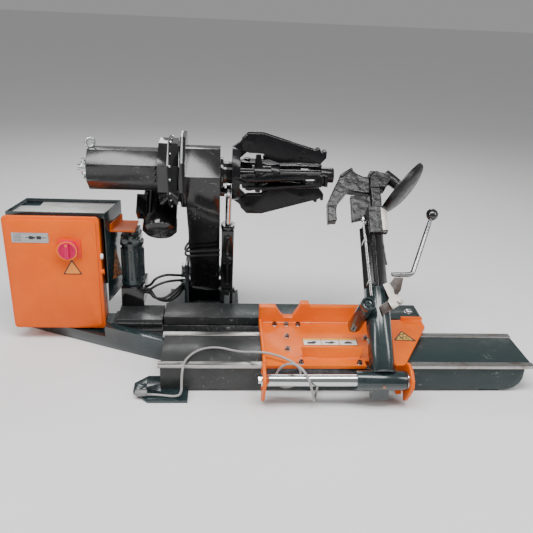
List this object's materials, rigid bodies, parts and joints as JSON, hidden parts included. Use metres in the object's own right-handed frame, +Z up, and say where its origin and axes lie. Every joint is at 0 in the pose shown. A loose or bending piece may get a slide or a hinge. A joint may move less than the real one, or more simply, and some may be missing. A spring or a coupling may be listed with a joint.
{
  "type": "heavy tire changer",
  "caption": "Floor-standing heavy tire changer: a bed with a sliding tool carriage, a tilting tool post and a swinging hydraulic chuck arm.",
  "frame": {"origin": "front left corner of the bed, on the floor, in the underside of the front foot plate", "axes": "+X along the bed to the right, +Y away from the operator, +Z up"},
  "size_m": [2.045, 0.99, 0.891],
  "materials": {
    "orange_paint": "glossy powder coat",
    "green_paint": "semi-gloss hammer paint",
    "black_paint": "high gloss paint",
    "grey_paint": "satin paint with scuffs",
    "tray_grey": "scratched satin",
    "ground_steel": "ground and worn",
    "dark_steel": "oiled",
    "chrome": "polished",
    "cast_black": "rough black casting with worn edges",
    "device_grey": "matte",
    "hose_rubber": "satin",
    "switch_red": "gloss",
    "knob_magenta": "gloss",
    "cable_grey": "satin",
    "ball_black": "gloss"
  },
  "bodies": {
    "root": {"bed_beam": "green_paint", "bed_rails": "ground_steel", "foot_plates": "green_paint", "base_frame": "green_paint", "cross_members": "green_paint", "rear_channel": "grey_paint", "carriage_barrel": "black_paint", "arm_stand": "green_paint", "pivot_pin": "ground_steel", "cylinder_foot": "black_paint", "cabinet_hood": "green_paint", "top_tray": "tray_grey", "enclosure_box": "orange_paint", "contactor_bank": "device_grey", "pump_motor": "green_paint", "oil_tank": "black_paint", "shelf_plate": "orange_paint", "hydraulic_hoses": "hose_rubber"},
    "door": {"enclosure_door": "orange_paint", "nameplate": "tray_grey", "switch_plate": "switch_red"},
    "knob": {"switch_knob": "knob_magenta"},
    "carriage": {"saddle": "orange_paint", "saddle_bolts": "dark_steel", "keeper_bars": "dark_steel", "saddle_ears": "orange_paint", "chrome_shaft": "chrome", "rear_cover": "grey_paint", "carriage_rod": "chrome", "cable_gland": "cable_grey", "mains_cable": "cable_grey", "cable_connector": "cable_grey"},
    "post": {"post_sleeve": "green_paint", "post_tube": "green_paint", "buffer_barrel": "green_paint", "latch_block": "black_paint", "post_bar": "cast_black", "release_rod": "ground_steel"},
    "lever": {"latch_lever": "dark_steel", "ball_knob": "ball_black"},
    "latch": {"latch_plate": "ground_steel"},
    "head": {"head_casting": "cast_black", "hook": "cast_black"},
    "disc": {"bead_disc": "cast_black"},
    "arm": {"chuck_arm": "black_paint", "spindle_housing": "black_paint", "gear_casing": "black_paint", "casing_bolts": "ground_steel", "octagon_cover": "grey_paint", "drive_motor": "black_paint", "rotary_union": "chrome", "arm_hoses": "hose_rubber"},
    "chuck": {"chuck_plate": "black_paint"},
    "spider": {"jaw_spider": "black_paint"},
    "jaw_a": {"jaw_1": "black_paint"},
    "jaw_b": {"jaw_2": "black_paint"},
    "jaw_c": {"jaw_3": "black_paint"},
    "jaw_d": {"jaw_4": "black_paint"},
    "ram_barrel": {"arm_barrel": "black_paint"},
    "ram_rod": {"arm_rod": "chrome"}
  },
  "joints": [
    {"name": "carriage_slide", "type": "slide", "parent": "root", "child": "carriage", "axis": [1, 0, 0], "range_m": [0, 0.33]},
    {"name": "door_swing", "type": "hinge", "parent": "root", "child": "door", "pos_m": [-0.622, 0.392, 0.3], "axis": [0, 0, -1], "range_deg": [0, 110]},
    {"name": "knob_turn", "type": "hinge", "parent": "door", "child": "knob", "pos_m": [-0.376, 0.36, 0.417], "axis": [0, 1, 0], "range_deg": [0, 90]},
    {"name": "post_tilt", "type": "hinge", "parent": "carriage", "child": "post", "pos_m": [0.8, -0.08, 0.112], "axis": [1, 0, 0], "range_deg": [0, 80]},
    {"name": "lever_turn", "type": "hinge", "parent": "post", "child": "lever", "pos_m": [0.9, 0.16961, 0.41818], "axis": [1, 0, 0], "range_deg": [0, 35]},
    {"name": "latch_turn", "type": "hinge", "parent": "post", "child": "latch", "pos_m": [0.883, 0.07132, 0.35242], "axis": [0, -0.7071, 0.7071], "range_deg": [0, 7]},
    {"name": "head_swivel", "type": "hinge", "parent": "post", "child": "head", "pos_m": [0.835, 0.34426, 0.53626], "axis": [0, 0.7071, 0.7071], "range_deg": [0, 180]},
    {"name": "disc_spin", "type": "hinge", "parent": "head", "child": "disc", "pos_m": [0.963, 0.47296, 0.66496], "axis": [0.7314, -0.4822, -0.4822], "continuous": true},
    {"name": "arm_swing", "type": "hinge", "parent": "root", "child": "arm", "pos_m": [0.15, 0.69, 0.19], "axis": [1, 0, 0], "range_deg": [-5, 30]},
    {"name": "chuck_spin", "type": "hinge", "parent": "arm", "child": "chuck", "pos_m": [0.3, 0.4, 0.735], "axis": [1, 0, 0], "continuous": true},
    {"name": "jaw_a_swing", "type": "hinge", "parent": "chuck", "child": "jaw_a", "pos_m": [0.325, 0.4, 0.865], "axis": [0, -1, 0], "range_deg": [0, 15]},
    {"name": "jaw_b_swing", "type": "hinge", "parent": "chuck", "child": "jaw_b", "pos_m": [0.325, 0.27, 0.735], "axis": [0, 0, -1], "range_deg": [0, 15]},
    {"name": "jaw_c_swing", "type": "hinge", "parent": "chuck", "child": "jaw_c", "pos_m": [0.325, 0.4, 0.605], "axis": [0, 1, 0], "range_deg": [0, 15]},
    {"name": "jaw_d_swing", "type": "hinge", "parent": "chuck", "child": "jaw_d", "pos_m": [0.325, 0.53, 0.735], "axis": [0, 0, 1], "range_deg": [0, 15]},
    {"name": "spider_slide", "type": "slide", "parent": "chuck", "child": "spider", "axis": [1, 0, 0], "range_m": [0, 0.0265]},
    {"name": "ram_turn", "type": "hinge", "parent": "root", "child": "ram_barrel", "pos_m": [0.252, 0.53, 0.17], "axis": [1, 0, 0], "range_deg": [-5.6, 33.1]},
    {"name": "ram_stroke", "type": "slide", "parent": "ram_barrel", "child": "ram_rod", "axis": [0, -0.1843, 0.9829], "range_m": [-0.081, 0.014]}
  ],
  "couplings": [
    {"joint": "jaw_b_swing", "follows": "jaw_a_swing", "ratio": 1},
    {"joint": "jaw_c_swing", "follows": "jaw_a_swing", "ratio": 1},
    {"joint": "jaw_d_swing", "follows": "jaw_a_swing", "ratio": 1},
    {"joint": "spider_slide", "follows": "jaw_a_swing", "m_per_rad": 0.1001},
    {"joint": "latch_turn", "follows": "lever_turn", "ratio": 0.2},
    {"joint": "ram_turn", "follows": "arm_swing", "ratio": 1.1},
    {"joint": "ram_stroke", "follows": "arm_swing", "m_per_rad": -0.153}
  ]
}
